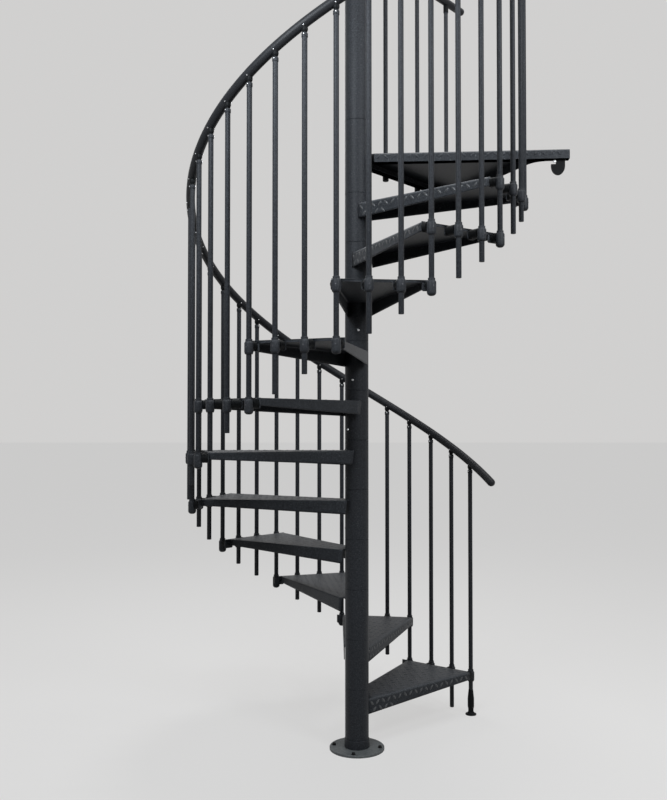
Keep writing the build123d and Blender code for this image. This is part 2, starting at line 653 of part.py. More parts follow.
# Tongue under the front arm's end
tongue_x, tongue_y = front_point(LANDING_EDGE_L - TONGUE_FROM_END, TONGUE_INSET)
tongue_plane = Plane(
    (tongue_x, tongue_y, LANDING_TOP - LANDING_DEPTH),
    x_dir=(cos(radians(LANDING_FRONT_ANGLE)), sin(radians(LANDING_FRONT_ANGLE)), 0),
    z_dir=(sin(radians(LANDING_FRONT_ANGLE)), -cos(radians(LANDING_FRONT_ANGLE)), 0),
)
with BuildPart() as landing_tongue:
    with BuildSketch(tongue_plane):
        with Locations((0, -TONGUE_H + TONGUE_ROUND_H)):
            Ellipse(TONGUE_W / 2, TONGUE_ROUND_H)
            Rectangle(TONGUE_W, TONGUE_H, align=(Align.CENTER, Align.MIN), mode=Mode.SUBTRACT)
        Rectangle(TONGUE_W, TONGUE_H - TONGUE_ROUND_H, align=(Align.CENTER, Align.MAX))
        with Locations((-TONGUE_W / 2, 0)):
            Rectangle(TONGUE_NOTCH_W, TONGUE_NOTCH_H, align=(Align.MIN, Align.MAX), mode=Mode.SUBTRACT)
    extrude(amount=-TONGUE_T)
landing_tongue.part.label = "landing_tongue"
export_step(landing_tongue.part, "parts/landing_tongue.step")

# Landing balustrade along the far side
cup_line_out = LANDING_CUP_D / 2 + FIT_GAP
rail_height = LANDING_TOP + LANDING_RAIL_ABOVE
landing_bar_top = rail_height - RAIL_ABOVE_BAR
landing_bar_points = [
    far_point(LANDING_BAR_FIRST + LANDING_BAR_PITCH * bar, -cup_line_out) for bar in range(LANDING_BARS)
]
rail_x, rail_y = far_point(0, -cup_line_out)
landing_rail_plane = Plane(
    (rail_x, rail_y, rail_height), z_dir=(cos(radians(LANDING_FAR_ANGLE)), sin(radians(LANDING_FAR_ANGLE)), 0)
)

with BuildPart() as landing_bars:
    with Locations(*[(x, y, LANDING_TOP - LANDING_BAR_DROP) for x, y in landing_bar_points]):
        Cylinder(
            BAR_D / 2,
            landing_bar_top - LANDING_TOP + LANDING_BAR_DROP,
            align=(Align.CENTER, Align.CENTER, Align.MIN),
        )
landing_bars.part.label = "landing_bars"
export_step(landing_bars.part, "parts/landing_bars.step")

with BuildPart() as landing_cups:
    with Locations(*[(x, y, LANDING_TOP - LANDING_CUP_TOP) for x, y in landing_bar_points]):
        Cylinder(
            LANDING_CUP_D / 2,
            LANDING_CUP_DROP - LANDING_CUP_TOP,
            align=(Align.CENTER, Align.CENTER, Align.MAX),
        )
    chamfer(landing_cups.edges().group_by(Axis.Z)[0], LANDING_CUP_EDGE)
    with Locations(*[(x, y, LANDING_TOP - LANDING_BAR_DROP) for x, y in landing_bar_points]):
        Cylinder(
            BAR_D / 2 + FIT_GAP,
            LANDING_BAR_DROP,
            align=(Align.CENTER, Align.CENTER, Align.MIN),
            mode=Mode.SUBTRACT,
        )
landing_cups.part.label = "landing_cups"
export_step(landing_cups.part, "parts/landing_cups.step")

with BuildPart() as landing_rail:
    with BuildSketch(landing_rail_plane):
        Circle(RAIL_D / 2)
    extrude(amount=LANDING_EDGE_L)
    with Locations((*far_point(LANDING_EDGE_L, -cup_line_out), rail_height)):
        Sphere(RAIL_D / 2)
    with Locations((0, 0, rail_height)):
        Cylinder(HUB_R + FIT_GAP, 2 * RAIL_D, mode=Mode.SUBTRACT)
landing_rail.part.label = "landing_rail"
export_step(landing_rail.part, "parts/landing_rail.step")

with BuildPart() as landing_knuckles:
    with Locations(*[(x, y, landing_bar_top) for x, y in landing_bar_points]):
        Cylinder(KNUCKLE_D / 2, KNUCKLE_SLEEVE, align=(Align.CENTER, Align.CENTER, Align.MAX))
        Cylinder(KNUCKLE_D / 2, RAIL_ABOVE_BAR, align=(Align.CENTER, Align.CENTER, Align.MIN))
        Cylinder(
            BAR_D / 2 + FIT_GAP,
            KNUCKLE_SLEEVE,
            align=(Align.CENTER, Align.CENTER, Align.MAX),
            mode=Mode.SUBTRACT,
        )
    with BuildSketch(landing_rail_plane):
        Circle(RAIL_D / 2 + FIT_GAP)
    extrude(amount=LANDING_EDGE_L, mode=Mode.SUBTRACT)
landing_knuckles.part.label = "landing_knuckles"
export_step(landing_knuckles.part, "parts/landing_knuckles.step")
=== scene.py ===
"""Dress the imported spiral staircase: turned, folded and swept surfaces, powder coat, zinc and PVC."""

from math import atan, atan2, cos, degrees, hypot, pi, radians, sin, tan

import bpy
import numpy as np
from mathutils import Euler, Matrix


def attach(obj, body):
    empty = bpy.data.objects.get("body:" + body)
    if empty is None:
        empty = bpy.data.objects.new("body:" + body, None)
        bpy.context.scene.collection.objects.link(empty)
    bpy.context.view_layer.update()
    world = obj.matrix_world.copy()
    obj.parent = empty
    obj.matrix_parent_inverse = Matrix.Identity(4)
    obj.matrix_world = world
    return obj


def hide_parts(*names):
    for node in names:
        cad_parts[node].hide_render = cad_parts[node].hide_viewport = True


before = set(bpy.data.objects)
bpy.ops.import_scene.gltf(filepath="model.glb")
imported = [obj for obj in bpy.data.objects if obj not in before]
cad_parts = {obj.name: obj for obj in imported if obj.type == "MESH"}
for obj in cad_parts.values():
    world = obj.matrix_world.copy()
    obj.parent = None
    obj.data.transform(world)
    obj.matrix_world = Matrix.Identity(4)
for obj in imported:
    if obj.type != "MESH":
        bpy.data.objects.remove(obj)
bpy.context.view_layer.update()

# Sizes of the stair, in metres and degrees, as in the part's source
RISE = 0.230
TURN = 28.0
TREADS = 11
FIRST_BAR_ANGLE = 38.7
BAR_TURN = TURN / 3
BAR_RISE = RISE / 3
BARS = 34
CHORD = 0.708
CORNER_N = CHORD + 0.0401
CORNER_S = CORNER_N * tan(radians(TURN / 2))
BAR_CIRCLE = hypot(CORNER_N, CORNER_S)
INNER_N = BAR_CIRCLE * cos(radians(BAR_TURN / 2))
INNER_S = BAR_CIRCLE * sin(radians(BAR_TURN / 2))
FRONT_CORNER = CORNER_S + 0.0175
REAR_CORNER = CORNER_S - 0.010
HUB_R = 0.05475
HUB_BORE = 0.05075
HUB_BELOW = 0.181
HUB_ABOVE = RISE - HUB_BELOW
FOOT_TUBE_R = 0.058
BASE_T = 0.010
LANDING_TOP = RISE * (TREADS + 1)
LANDING_HUB_TOP = LANDING_TOP + 0.1645
NEWEL_TOP = LANDING_TOP + 1.090
SHEET = 0.004
SHEET_HOLE_R = HUB_R + 0.0003
FRONT_OFF_AXIS, REAR_OFF_AXIS = 0.040, 0.05975
FRONT_BEND, REAR_BEND = 0.012, 0.006
FRONT_DEPTH_IN, FRONT_DEPTH_OUT = 0.075, 0.040
REAR_DEPTH_IN, REAR_DEPTH_OUT = 0.069, 0.030
TAB_HALF, REAR_TAB_HALF, TAB_DEPTH, LIP_DEPTH = 0.020, 0.025, 0.044, 0.012
BAR_R = 0.011
BAR_BOTTOM, CORNER_BAR_BOTTOM, FIRST_BAR_BOTTOM, BAR_TOP = -0.0665, -0.063, 0.004, 1.2615
BAR_SPACING = radians(BAR_TURN) * BAR_CIRCLE
RAIL_R, RAIL_CENTRE = 0.020, 1.3031
RAIL_FIRST, RAIL_LAST = -0.159 / BAR_SPACING, BARS - 1 + 0.0628 / BAR_SPACING
SPACER_R, SPACER_DROP = 0.020, 0.0235
LANDING_ANGLE, LANDING_OFF_AXIS = -4.2, 0.0575
LANDING_FAR_ANGLE, LANDING_FAR_OFF_AXIS = 50.4, 0.012
LANDING_END = 0.977
LANDING_CHORD = CHORD + 0.019
BASE_BOLT_R, BASE_BOLT_ANGLES = 0.1075, (-10, 80, 170, 260)

# Sizes of this scene alone, in metres: details that the solids lack or have a little differently
FRONT_START, REAR_START, REAR_SLANT = 0.0385, 0.040, 0.008
TAB_SHEET, TAB_CORNER, LIP_CORNER = 0.0035, 0.006, 0.002
RING_BORE, CLAMP_R, SLEEVE_R = BAR_R + 0.0002, 0.0184, 0.0127
SPACER_SHORT = 0.0145
# Height below which the underside of the landing's front channel is painted shade
LANDING_DARK_BELOW = LANDING_TOP - 0.0436
SET_SCREW_DROP, CLAMP_SCREW_DROP, SLEEVE_SCREW_DROP, CLAMP_SCREW_SUNK = 0.133, 0.030, 0.006, 0.0015
# Bolt in the tongue's notch: in from the arm's end, in from its face and down from its top
TONGUE_BOLT_END, TONGUE_BOLT_FACE, TONGUE_BOLT_DROP = 0.0655, 0.020, 0.0515


# Placing
def turn_z(angle):
    """Turn about Z: x goes to x cos a - y sin a, and y to x sin a + y cos a."""
    a = radians(angle)
    matrix = np.eye(4)
    matrix[:2, :2] = [[cos(a), -sin(a)], [sin(a), cos(a)]]
    return matrix


def shift(x=0.0, y=0.0, z=0.0):
    """Move by (x, y, z)."""
    matrix = np.eye(4)
    matrix[:3, 3] = (x, y, z)
    return matrix


def axis_to(direction):
    """Turn that carries +Z onto a direction: its columns are two sides square to it, and it."""
    w = np.array(direction, float)
    w /= np.linalg.norm(w)
    u = np.cross((0, 0, 1), w)
    u = np.array((1.0, 0, 0)) if np.linalg.norm(u) < 1e-6 else u / np.linalg.norm(u)
    matrix = np.eye(4)
    matrix[:3, 0], matrix[:3, 1], matrix[:3, 2] = u, np.cross(w, u), w
    return matrix


def step_place(step):
    """Place of a piece drawn about +X with its top at height 0, on this step."""
    return shift(z=RISE * step) @ turn_z(FIRST_BAR_ANGLE + TURN * (step - 0.5))


def bar_place(bar, height):
    """Place of a piece drawn about a baluster's axis, on this baluster."""
    return shift(z=height + BAR_RISE * bar) @ turn_z(FIRST_BAR_ANGLE + BAR_TURN * bar) @ shift(x=BAR_CIRCLE)


STEPS = range(1, TREADS + 1)
TO_PLUS_X = axis_to((1, 0, 0))


# Surfaces
def grid_faces(rows, cols, wrap_rows, wrap_cols, flip=False):
    """Quads of a grid of points, row by row, joined round where wrapped."""
    i = np.arange(rows if wrap_rows else rows - 1)[:, None]
    j = np.arange(cols if wrap_cols else cols - 1)[None, :]
    below, right = (i + 1) % rows, (j + 1) % cols
    corners = [i * cols + j, i * cols + right, below * cols + right, below * cols + j]
    quads = np.stack(np.broadcast_arrays(*corners), -1).reshape(-1, 4)
    return quads[:, ::-1] if flip else quads


def make_piece(name, points, faces, material, nodes=(), sharp=32, uv=None):
    """Mesh object from points and faces, shaded smooth except at folds sharper than this angle."""
    mesh = bpy.data.meshes.new(name)
    mesh.from_pydata(points.reshape(-1, 3).tolist(), [], faces)
    mesh.update(calc_edges=True)
    if uv is not None:
        corner = np.empty(len(mesh.loops), int)
        mesh.loops.foreach_get("vertex_index", corner)
        layer = mesh.uv_layers.new(name="sheet")
        layer.data.foreach_set("uv", uv.reshape(-1, 2)[corner].ravel())
    mesh.shade_smooth()
    mesh.set_sharp_from_angle(angle=radians(sharp))
    mesh.materials.append(material)
    made = bpy.data.objects.new(name, mesh)
    bpy.context.scene.collection.objects.link(made)
    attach(made, "root")
    for node in nodes:
        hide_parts(node)
    return made


def copied_grids(points, wrap_rows=False):
    """Faces of several equal grids of points, wrapped across; open ends get a flat face each."""
    count, rows, cols = points.shape[:3]
    step = np.arange(count) * rows * cols
    one = grid_faces(rows, cols, wrap_rows, True)
    faces = (one[None] + step[:, None, None]).reshape(-1, 4).tolist()
    if not wrap_rows:
        first = np.arange(cols)[::-1]
        last = (rows - 1) * cols + np.arange(cols)
        faces += (first + step[:, None]).tolist() + (last + step[:, None]).tolist()
    return faces


def turned_set(name, profile, places, material, nodes=(), sides=32, ring=False, sharp=32):
    """Turned pieces: radius and height of each profile point, swept round Z as (r cos a, r sin a, h),
    copied to every place. A ring joins its profile's last point to its first; other ends are closed
    by a flat face over their last circle."""
    profile = np.array(profile, float)
    angle = np.arange(sides) * 2 * pi / sides
    ones = np.ones(sides)
    r, h = profile[:, :1], profile[:, 1:]
    local = np.stack([r * np.cos(angle), r * np.sin(angle), h * ones, 0 * r + ones], -1)
    points = np.einsum("kab,mnb->kmna", np.array(places), local)[..., :3]
    return make_piece(name, points, copied_grids(points, ring), material, nodes, sharp)


def arc(centre_r, centre_h, radius, start, end, count):
    """Points of a circular arc in the radius and height plane, angles in degrees."""
    a = np.radians(np.linspace(start, end, count))
    return np.stack([centre_r + radius * np.cos(a), centre_h + radius * np.sin(a)], -1)


def swept_sections(path, side, radius, sides):
    """Round sections along a path: centre + r (s cos a + t sin a), with s the given side direction
    and t square to s and the path."""
    tangent = np.gradient(path, axis=0)
    tangent /= np.linalg.norm(tangent, axis=1, keepdims=True)
    across = np.cross(tangent, side)
    across /= np.linalg.norm(across, axis=1, keepdims=True)
    angle = np.arange(sides) * 2 * pi / sides
    offset = side[:, None] * np.cos(angle)[None, :, None] + across[:, None] * np.sin(angle)[None, :, None]
    return path[:, None] + radius[:, None, None] * offset


# Shader building
def nodes_of(tree):
    """Short calls for a tree: add a node, link two sockets, and do arithmetic on sockets or numbers."""
    def add(kind, **values):
        made = tree.nodes.new(kind)
        for key, value in values.items():
            setattr(made, key, value)
        return made

    def feed(socket, value):
        if isinstance(value, bpy.types.NodeSocket):
            tree.links.new(value, socket)
        else:
            socket.default_value = value

    def maths(operation, *values, clamp=False):
        made = add("ShaderNodeMath", operation=operation, use_clamp=clamp)
        for socket, value in zip(made.inputs, values):
            feed(socket, value)
        return made.outputs[0]
    return add, feed, maths


BLOTCH_GAIN, FLECK_THRESHOLD, FLECK_GAIN = 3.0, 0.62, 9.0


def grain_group():
    """Powder coat, from noise in metres: a fine pebbled height, a blotchy mask a few millimetres
    across, and sparse flecks where a third noise rises over its threshold."""
    tree = bpy.data.node_groups.new("powder_grain", "ShaderNodeTree")
    for name in ("Vector", "Fleck Amount"):
        kind = "NodeSocketVector" if name == "Vector" else "NodeSocketFloat"
        tree.interface.new_socket(name, in_out="INPUT", socket_type=kind)
    for name in ("Height", "Blotch", "Fleck"):
        tree.interface.new_socket(name, in_out="OUTPUT", socket_type="NodeSocketFloat")
    add, feed, maths = nodes_of(tree)
    given, put = add("NodeGroupInput"), add("NodeGroupOutput")

    def noise(scale, detail, roughness):
        texture = add("ShaderNodeTexNoise")
        for socket, value in (("Scale", scale), ("Detail", detail), ("Roughness", roughness)):
            texture.inputs[socket].default_value = value
        tree.links.new(given.outputs["Vector"], texture.inputs["Vector"])
        return texture.outputs["Fac"]

    pebble, blotch, fleck = noise(330, 3, 0.6), noise(150, 4, 0.75), noise(230, 2, 0.5)
    feed(put.inputs["Height"], pebble)
    off_middle = maths("SUBTRACT", blotch, 0.5)
    feed(put.inputs["Blotch"], maths("MULTIPLY_ADD", off_middle, BLOTCH_GAIN, 0.5, clamp=True))
    risen = maths("MULTIPLY", maths("SUBTRACT", fleck, FLECK_THRESHOLD), FLECK_GAIN, clamp=True)
    feed(put.inputs["Fleck"], maths("MULTIPLY", risen, given.outputs["Fleck Amount"]))
    return tree


GRAIN = grain_group()
# Painted shade: near black colour for the underside of the landing's channel, where shade falls
PAINTED_SHADE = (0.004, 0.004, 0.005, 1)
# Half width of the painted highlight and wear along the front fold, its spread and least amount, and how far
# the roughness swings
FOLD_HIGHLIGHT_AND_WEAR, HIGHLIGHT_AND_WEAR_SPREAD, HIGHLIGHT_AND_WEAR_LEAST, ROUGHNESS_SWING = 0.011, 0.8, 0.1, 0.12


def coated(name, dark, light, fleck, roughness, grain_depth, fleck_amount=0.5, metallic=0.0,
           specular=0.5, fold_highlight_and_wear=None, shade_below=None):
    """Coated surface: the colour runs between dark and light with the blotches, and on to the fleck
    colour in the flecks; bumps give the grain. Given a fold colour, a sheet's front fold is lighter,
    a painted highlight with wear: the mask is 1 - |v - middle| / half width, with v the distance across
    the folded sheet. Below the given height the colour is painted shade, near black and without a shine."""
    material = bpy.data.materials.new(name)
    material.use_nodes = True
    tree = material.node_tree
    tree.nodes.clear()
    add, feed, maths = nodes_of(tree)
    shader, out = add("ShaderNodeBsdfPrincipled"), add("ShaderNodeOutputMaterial")
    tree.links.new(shader.outputs[0], out.inputs[0])
    shader.inputs["Metallic"].default_value = metallic
    shader.inputs["Specular IOR Level"].default_value = specular
    grain = add("ShaderNodeGroup", node_tree=GRAIN)
    grain.inputs["Fleck Amount"].default_value = fleck_amount
    place = add("ShaderNodeTexCoord").outputs["Object"]
    tree.links.new(place, grain.inputs["Vector"])

    def mixed(first, second, factor):
        mix = add("ShaderNodeMix", data_type="RGBA")
        feed(mix.inputs["A"], first)
        feed(mix.inputs["B"], second)
        feed(mix.inputs["Factor"], factor)
        return mix.outputs["Result"]

    colour = mixed((*dark, 1), (*light, 1), grain.outputs["Blotch"])
    # Painted highlight with wear: the front fold is made lighter, most at the middle of its bend
    if fold_highlight_and_wear:
        parts = add("ShaderNodeSeparateXYZ")
        tree.links.new(add("ShaderNodeUVMap", uv_map="sheet").outputs[0], parts.inputs[0])
        off = maths("ABSOLUTE", maths("SUBTRACT", parts.outputs[1], FOLD_V))
        near = maths("SUBTRACT", 1.0, maths("DIVIDE", off, FOLD_HIGHLIGHT_AND_WEAR), clamp=True)
        patchy = maths("MULTIPLY_ADD", grain.outputs["Blotch"], HIGHLIGHT_AND_WEAR_SPREAD, HIGHLIGHT_AND_WEAR_LEAST)
        highlight_and_wear = maths("MULTIPLY", near, patchy)
        colour = mixed(colour, (*fold_highlight_and_wear, 1), highlight_and_wear)
    colour = mixed(colour, (*fleck, 1), grain.outputs["Fleck"])
    # Painted shade: below this height the colour is near black and the shine is taken away
    if shade_below:
        height = add("ShaderNodeSeparateXYZ")
        tree.links.new(place, height.inputs[0])
        in_shade = maths("LESS_THAN", height.outputs[2], shade_below)
        colour = mixed(colour, PAINTED_SHADE, in_shade)
        feed(shader.inputs["Specular IOR Level"], maths("MULTIPLY", maths("SUBTRACT", 1.0, in_shade), specular))
    tree.links.new(colour, shader.inputs["Base Color"])
    swing = maths("MULTIPLY_ADD", grain.outputs["Blotch"], ROUGHNESS_SWING, roughness - ROUGHNESS_SWING / 2)
    feed(shader.inputs["Roughness"], swing)
    bump = add("ShaderNodeBump")
    bump.inputs["Strength"].default_value = 1.0
    bump.inputs["Distance"].default_value = 1.0
    feed(bump.inputs["Height"], maths("MULTIPLY", grain.outputs["Height"], grain_depth))
    tree.links.new(bump.outputs[0], shader.inputs["Normal"])
    return material


# Distance across a folded sheet is kept in v: UV_START where the front flange meets its bend, and
# FOLD_V half way round the bend
UV_START = 3.0
FOLD_V = UV_START + FRONT_BEND * pi / 4

DARK_COAT, LIGHT_COAT, COAT_FLECK = (0.026, 0.029, 0.033), (0.066, 0.070, 0.078), (0.16, 0.17, 0.18)
coat = coated("anthracite_coat", DARK_COAT, LIGHT_COAT, COAT_FLECK, 0.45, 0.00030, specular=0.16)
tube_coat = coated("tube_coat", (0.017, 0.019, 0.022), (0.048, 0.051, 0.058), (0.13, 0.14, 0.15), 0.50,
                   0.00026, specular=0.19)
# Tread sheets: their front folds get a painted highlight with wear, in the given light colour
sheet_coat = coated("tread_sheet_coat", DARK_COAT, LIGHT_COAT, COAT_FLECK, 0.47, 0.00050, 0.9,
                    specular=0.14, fold_highlight_and_wear=(0.15, 0.155, 0.165))
# Front almonds: a lighter coat, a painted highlight on their raised tops, with wear
almond_highlight_and_wear_coat = coated("almond_painted_highlight_and_wear", (0.035, 0.038, 0.042), (0.090, 0.095, 0.10), (0.20, 0.21, 0.22), 0.34,
                   0.00020, specular=0.6)
# Landing: the underside of its front channel, below LANDING_DARK_BELOW, is painted shade
landing_coat = coated("landing_coat", DARK_COAT, LIGHT_COAT, COAT_FLECK, 0.47, 0.00050, 0.9,
                      specular=0.14, shade_below=LANDING_DARK_BELOW)
zinc_grey = coated("base_zinc_grey", (0.095, 0.102, 0.102), (0.21, 0.22, 0.22), (0.30, 0.31, 0.31), 0.55,
                   0.00020)
bolt_black = coated("bolt_black", (0.004, 0.004, 0.004), (0.009, 0.009, 0.010), (0.02, 0.02, 0.02), 0.60,
                    0.00005, 0.1, specular=0.2)
black_plastic = coated("moulded_black", (0.006, 0.0065, 0.007), (0.012, 0.013, 0.014), (0.03, 0.03, 0.03),
                       0.46, 0.00008, 0.2, specular=0.08)
rail_pvc = coated("rail_pvc", (0.011, 0.012, 0.014), (0.022, 0.023, 0.026), (0.05, 0.05, 0.05), 0.46,
                  0.00005, 0.2, specular=0.22)
bright_zinc = coated("bright_zinc", (0.50, 0.51, 0.52), (0.74, 0.75, 0.76), (0.85, 0.85, 0.85), 0.30,
                     0.00003, metallic=1.0)
dark_zinc = coated("dark_zinc", (0.04, 0.04, 0.045), (0.10, 0.10, 0.11), (0.2, 0.2, 0.2), 0.42, 0.00003,
                   metallic=0.5)


# Column
def tube_profile(low, high, outer, inner, ease=0.0015):
    """Closed profile of a tube with its outer rims eased by a small chamfer, so that joints show."""
    return [
        (inner, low), (outer - ease, low), (outer, low + ease),
        (outer, high - ease), (outer - ease, high), (inner, high),
    ]


def column_tube(name, low, high, outer, nodes, places=(np.eye(4),)):
    """Tubes of the column, one at each place."""
    turned_set(name, tube_profile(low, high, outer, HUB_BORE), places, tube_coat, nodes,
               sides=72, ring=True)


for label, steps in (("odd", STEPS[::2]), ("even", STEPS[1::2])):
    column_tube(f"hub_tubes_{label}", -HUB_BELOW, HUB_ABOVE, HUB_R, [f"hubs_{label}"],
                [shift(z=RISE * i) for i in steps])
column_tube("foot_socket", BASE_T, RISE - HUB_BELOW, FOOT_TUBE_R, ["foot_tube"])
column_tube("landing_hub_tube", RISE * TREADS + HUB_ABOVE, LANDING_HUB_TOP, HUB_R, ["landing_hub"])
column_tube("newel_upper_tube", LANDING_HUB_TOP, NEWEL_TOP, HUB_R, ["newel_tube"])
cap_profile = np.vstack([
    [(HUB_R - 0.0005, 0)], arc(HUB_R - 0.0085, 0.0055, 0.008, 0, 90, 8), [(0.0001, 0.0138)],
])
turned_set("newel_cap_dome", cap_profile, [shift(z=NEWEL_TOP)], black_plastic, ["newel_cap"],
           sides=64)


# Balusters
def bar_profile(bottom, top):
    """Round bar with both ends eased."""
    return [
        (BAR_R - 0.0015, bottom), (BAR_R - 0.0005, bottom + 0.0005), (BAR_R, bottom + 0.0015),
        (BAR_R, top - 0.0005), (BAR_R - 0.0005, top),
    ]


BAR_ROWS = (("corner", 3, CORNER_BAR_BOTTOM), ("second", 1, BAR_BOTTOM), ("third", 2, BAR_BOTTOM))
for label, first, bottom in BAR_ROWS:
    places = [bar_place(k, 0) for k in range(first, BARS, 3)]
    turned_set(f"bars_{label}", bar_profile(bottom, BAR_TOP), places, tube_coat,
               [f"balusters_{label}"], sides=24)
turned_set("bar_first", bar_profile(FIRST_BAR_BOTTOM, BAR_TOP), [bar_place(0, 0)], tube_coat,
           ["first_baluster"], sides=24)

# Clamps: a collar on top, a short shoulder, the barrel, and a short cone at the foot
barrel_top = [
    (CLAMP_R, -0.0140), (CLAMP_R - 0.0006, -0.0120), (0.0150, -0.0080), (0.0142, -0.0070), (0.0142, 0.0010),
    (0.0132, 0.0020), (RING_BORE, 0.0020),
]
clamp_profile = [
    (RING_BORE, -0.0580), (0.0152, -0.0580), (0.0158, -0.0573), (CLAMP_R - 0.0004, -0.0510),
    (CLAMP_R, -0.0495), *barrel_top,
]
cup_profile = np.vstack([[(0.0001, -0.068)], arc(CLAMP_R - 0.014, -0.054, 0.014, -90, 0, 9), barrel_top])
front_corners = [step_place(i) @ shift(CORNER_N, -CORNER_S) for i in STEPS]
rear_corners = [step_place(i) @ shift(CORNER_N, CORNER_S) for i in STEPS]
inner_places = [step_place(i) @ shift(INNER_N, s * INNER_S) for i in STEPS for s in (-1, 1)]
for label, places in (("front", front_corners), ("inner", inner_places)):
    turned_set(f"clamp_barrels_{label}", clamp_profile, places, tube_coat,
               [f"clamps_{label}"], ring=True)
turned_set("clamp_cups_rear", cup_profile, rear_corners, tube_coat, ["clamps_rear"])


# Spacers
GROOVE_PITCH, GROOVE_DEPTH, GROOVE_POINTS, DRUM_EASE = 0.0065, 0.0010, 8, 0.0008


def ribbed(length):
    """Profile of a moulded spacer: a drum with shallow grooves at nearly the groove pitch, of radius
    R - depth (0.5 + 0.5 cos(2 pi x / pitch))^3, with both rims eased."""
    count = max(3, round(length / GROOVE_PITCH))
    x = np.linspace(0.0, length, count * GROOVE_POINTS + 1)
    r = SPACER_R - GROOVE_DEPTH * (0.5 + 0.5 * np.cos(2 * pi * x / (length / count))) ** 3
    r[[0, -1]] -= DRUM_EASE
    return np.stack([r, x], -1)


def spacer_drums(name, length, sideways, node):
    """Drums from the tread's outer edge into its clamps."""
    places = [step_place(i) @ shift(CHORD, s * sideways, -SPACER_DROP) @ TO_PLUS_X
              for i in STEPS for s in (-1, 1)]
    turned_set(name, ribbed(length), places, black_plastic, [node], sides=36)


spacer_drums("spacer_drums_corner", CORNER_N - CHORD - SPACER_SHORT, CORNER_S, "spacers_corner")
spacer_drums("spacer_drums_inner", INNER_N - CHORD - SPACER_SHORT, INNER_S, "spacers_inner")

# Foot of the first baluster
foot_profile = np.vstack([
    [(0.0001, 0.0), (0.0280, 0.0)],
    arc(0.0255, 0.0030, 0.0030, -60, 80, 7),
    [(0.0190, 0.0095), (0.0145, 0.0150), (0.0138, 0.0205), (0.0140, 0.0300), (0.0152, 0.0365),
     (0.0166, 0.0420), (0.0166, 0.0840), (0.0160, 0.0880), (0.0120, 0.1270), (0.0113, 0.1280)],
])
turned_set("foot_first_bar", foot_profile, [bar_place(0, 0)], black_plastic,
           ["first_baluster_foot"], sides=40, sharp=40)


# Handrail on its helix
RAIL_SECTIONS, DOME_SECTIONS, RAIL_SIDES = 420, 10, 28


def rail_path():
    """Helix over the baluster tops: (R cos a, R sin a, h), with h rising one baluster rise for each
    baluster turn. Its ends run past by one rail radius, where the section closes as a dome."""
    slope = atan((RISE * 360 / TURN) / (2 * pi * BAR_CIRCLE))
    past = degrees(RAIL_R * cos(slope) / BAR_CIRCLE) / BAR_TURN
    ends = np.cos(np.radians(np.linspace(2, 90, DOME_SECTIONS)))
    middle = np.linspace(RAIL_FIRST, RAIL_LAST, RAIL_SECTIONS)[1:-1]
    k = np.concatenate([RAIL_FIRST - past * ends, middle, RAIL_LAST + past * ends[::-1]])
    out = np.concatenate([ends, 0 * middle, ends[::-1]])
    a = np.radians(FIRST_BAR_ANGLE + BAR_TURN * k)
    centre = np.stack([BAR_CIRCLE * np.cos(a), BAR_CIRCLE * np.sin(a), RAIL_CENTRE + BAR_RISE * k], -1)
    side = np.stack([np.cos(a), np.sin(a), 0 * a], -1)
    return centre, side, RAIL_R * np.sqrt(1 - out ** 2)


rail_points = swept_sections(*rail_path(), RAIL_SIDES)[None]
make_piece("handrail_round", rail_points, copied_grids(rail_points), rail_pvc, ["handrail"])

# Knuckles: a sleeve on each bar's top, and a black neck with a collar that seats in the rail
bar_tops = [bar_place(k, BAR_TOP) for k in range(BARS)]
sleeve_profile = [
    (RING_BORE, -0.0160), (0.0124, -0.0160), (SLEEVE_R, -0.0155), (SLEEVE_R, -0.0015), (0.0119, 0.0),
    (0.0095, 0.0010), (0.0095, 0.0004), (RING_BORE, 0.0002),
]
neck_profile = [
    (0.0092, -0.0015), (0.0092, 0.0045), (0.0108, 0.0065), (0.0128, 0.0120), (0.0132, 0.0180),
    (0.0118, 0.0260),
]
turned_set("knuckle_sleeves", sleeve_profile, bar_tops, tube_coat, ["rail_knuckles"],
           sides=24, ring=True)
turned_set("knuckle_necks", neck_profile, bar_tops, black_plastic, ["rail_knuckles"],
           sides=20)


# Treads
def edge(corner_y, side, off_axis):
    """Direction, tangent point and length of a side edge: it grazes the circle of radius off_axis about
    the axis, and ends on the outer chord at corner_y."""
    reach = hypot(CHORD, corner_y)
    angle = atan2(corner_y, CHORD) - side * np.arcsin(off_axis / reach)
    foot = off_axis * side * np.array([-sin(angle), cos(angle)])
    return angle, foot, np.sqrt(reach ** 2 - off_axis ** 2)


FRONT_EDGE = edge(-FRONT_CORNER, -1, FRONT_OFF_AXIS)
REAR_EDGE = edge(REAR_CORNER, 1, REAR_OFF_AXIS)


def side_lines(edge_of, off_axis, start, side, inset, u):
    """Points of lines beside an edge, from their starts to where they meet the outer chord: each is
    base + length d, with d along the edge and base moved inwards by its inset. A line starts at the
    column's hole where that is further out than its own start."""
    angle, foot = edge_of[:2]
    d = np.array([cos(angle), sin(angle)])
    n = side * np.array([sin(angle), -cos(angle)])
    base = foot + inset[:, None] * n
    clear = np.sqrt(np.maximum(SHEET_HOLE_R ** 2 - (off_axis - inset) ** 2, 0))
    begin = np.maximum(start, clear)
    length = begin + u * ((CHORD - base[:, 0]) / d[0] - begin)
    return base[None] + length[..., None] * d


def flange_depth(x, inner, outer):
    """Depth of a flange at a distance out: it tapers evenly from the column to the outer edge."""
    return inner + (outer - inner) * (x + REAR_OFF_AXIS) / (CHORD + REAR_OFF_AXIS)


# Lines across a folded sheet, and points along each of them
FLANGE_LINES, BEND_LINES, TOP_LINES, LINE_POINTS = 6, 9, 12, 25
FIRST_TOP = FLANGE_LINES + BEND_LINES


